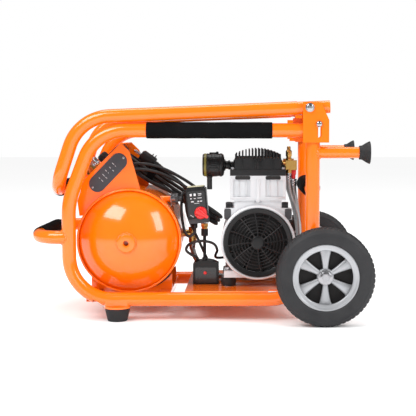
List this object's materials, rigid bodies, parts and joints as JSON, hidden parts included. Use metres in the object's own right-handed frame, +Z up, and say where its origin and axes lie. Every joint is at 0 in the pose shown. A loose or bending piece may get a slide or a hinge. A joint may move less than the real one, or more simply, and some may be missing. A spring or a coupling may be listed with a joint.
{
  "type": "portable air compressor",
  "caption": "Portable oil-free air compressor in a tubular roll cage with wheels, folding pull handle, tank and instrument console.",
  "frame": {"origin": "middle of the footprint, on the floor", "axes": "+X along the cage towards the wheels, +Z up, Y across the cage"},
  "size_m": [0.711, 0.465, 0.4537],
  "materials": {
    "orange_coat": "glossy powder coat",
    "foam": "matt closed-cell foam",
    "rubber": "moulded rubber",
    "tyre": "solid rubber tyre with fine tread",
    "brass": "turned brass",
    "plate_grey": "satin plate",
    "cast_dark": "dark die casting",
    "black_plastic": "moulded",
    "gauge_black": "satin black",
    "red_plastic": "moulded",
    "bright_steel": "zinc plated",
    "cast_alu": "sand-textured die casting",
    "head_black": "black coated casting",
    "winding": "laminated core with copper winding",
    "rim_silver": "silver moulded",
    "braid": "braided",
    "hose_black": "smooth hose",
    "cable_black": "rubber sheath"
  },
  "bodies": {
    "frame": {"side_frame_left": "orange_coat", "side_frame_right": "orange_coat", "rear_crossbar": "orange_coat", "front_bumper": "orange_coat", "frame_grips": "foam", "rubber_feet": "rubber", "pump_tray": "orange_coat", "tank_saddles": "orange_coat", "saddle_pads": "rubber", "tank": "orange_coat", "check_valve": "brass", "drain_valve": "brass", "console": "orange_coat", "nameplate": "plate_grey", "regulator": "cast_dark", "gauge_cases": "gauge_black", "coupler_bodies": "brass", "switch_base": "cast_dark", "switch_cover": "black_plastic", "switch_fittings": "black_plastic", "overload_box": "black_plastic", "motor_housing": "cast_alu", "stator": "winding", "crankcases": "cast_alu", "fan_guards": "black_plastic", "cylinder_liners": "bright_steel", "cylinder_heads": "head_black", "intake_filter": "black_plastic", "pump_mounts": "rubber", "outlet_block": "brass", "safety_valve": "brass", "axle": "bright_steel", "axle_hardware": "bright_steel", "pivot_bolts": "bright_steel", "braided_hoses": "braid", "console_hoses": "hose_black", "control_cable": "cable_black", "motor_cable": "cable_black", "mains_lead": "cable_black", "mains_hank": "cable_black", "mains_plug": "black_plastic"},
    "pull_handle_body": {"pull_handle": "orange_coat", "pull_handle_grip": "foam"},
    "lock_pin_body": {"lock_pins": "bright_steel"},
    "wheel_left": {"wheel_rim_left": "rim_silver", "wheel_tyre_left": "tyre"},
    "wheel_right": {"wheel_rim_right": "rim_silver", "wheel_tyre_right": "tyre"},
    "switch_knob_body": {"switch_knob": "red_plastic"},
    "reset_button_body": {"reset_button": "red_plastic"},
    "regulator_knob_body": {"regulator_knob": "black_plastic"},
    "tank_needle_body": {"tank_needle": "red_plastic"},
    "outlet_needle_body": {"outlet_needle": "red_plastic"},
    "sleeve_left": {"coupler_sleeve_left": "bright_steel"},
    "sleeve_right": {"coupler_sleeve_right": "bright_steel"},
    "drain_knob_body": {"drain_knob": "brass"},
    "rotor": {"motor_shaft": "bright_steel", "cooling_fans": "black_plastic"},
    "piston_front_body": {"piston_front": "cast_alu"},
    "piston_rear_body": {"piston_rear": "cast_alu"}
  },
  "joints": [
    {"name": "handle_fold", "type": "hinge", "parent": "frame", "child": "pull_handle_body", "pos_m": [0.2257, 0, 0.439], "axis": [0, 1, 0], "range_deg": [0, 90]},
    {"name": "lock_pin_slide", "type": "slide", "parent": "frame", "child": "lock_pin_body", "axis": [0, 0, -1], "range_m": [0, 0.023]},
    {"name": "wheel_left_spin", "type": "hinge", "parent": "frame", "child": "wheel_left", "pos_m": [0.2555, -0.21, 0.1], "axis": [0, 1, 0], "continuous": true},
    {"name": "wheel_right_spin", "type": "hinge", "parent": "frame", "child": "wheel_right", "pos_m": [0.2555, 0.21, 0.1], "axis": [0, 1, 0], "continuous": true},
    {"name": "switch_knob_turn", "type": "hinge", "parent": "frame", "child": "switch_knob_body", "pos_m": [0.0002, -0.08, 0.2183], "axis": [0, -1, 0], "range_deg": [0, 90]},
    {"name": "reset_button_press", "type": "slide", "parent": "frame", "child": "reset_button_body", "axis": [0, 1, 0], "range_m": [0, 0.003], "stiffness_N_per_m": 400},
    {"name": "regulator_knob_turn", "type": "hinge", "parent": "frame", "child": "regulator_knob_body", "pos_m": [-0.20823, 0, 0.32577], "axis": [-0.7071, 0, 0.7071], "range_deg": [0, 270]},
    {"name": "tank_needle_turn", "type": "hinge", "parent": "frame", "child": "tank_needle_body", "pos_m": [-0.19586, -0.048, 0.35582], "axis": [0.7071, 0, -0.7071], "range_deg": [0, 270], "stiffness_Nm_per_rad": 0.0005},
    {"name": "outlet_needle_turn", "type": "hinge", "parent": "frame", "child": "outlet_needle_body", "pos_m": [-0.19586, 0.048, 0.35582], "axis": [0.7071, 0, -0.7071], "range_deg": [0, 270], "stiffness_Nm_per_rad": 0.0005},
    {"name": "sleeve_left_slide", "type": "slide", "parent": "frame", "child": "sleeve_left", "axis": [0.7071, 0, -0.7071], "range_m": [0, 0.004], "stiffness_N_per_m": 600},
    {"name": "sleeve_right_slide", "type": "slide", "parent": "frame", "child": "sleeve_right", "axis": [0.7071, 0, -0.7071], "range_m": [0, 0.004], "stiffness_N_per_m": 600},
    {"name": "drain_knob_turn", "type": "hinge", "parent": "frame", "child": "drain_knob_body", "pos_m": [-0.15, 0, 0.0514], "axis": [0, 0, 1], "range_deg": [0, 180]},
    {"name": "rotor_spin", "type": "hinge", "parent": "frame", "child": "rotor", "pos_m": [0.1215, 0, 0.1573], "axis": [0, 1, 0], "continuous": true},
    {"name": "piston_front_slide", "type": "slide", "parent": "frame", "child": "piston_front_body", "axis": [0, 0, 1], "range_m": [-0.008, 0.008]},
    {"name": "piston_rear_slide", "type": "slide", "parent": "frame", "child": "piston_rear_body", "axis": [0, 0, 1], "range_m": [-0.008, 0.008]}
  ],
  "couplings": [
    {"joint": "lock_pin_slide", "follows": "handle_fold", "m_per_rad": 0.0145}
  ]
}
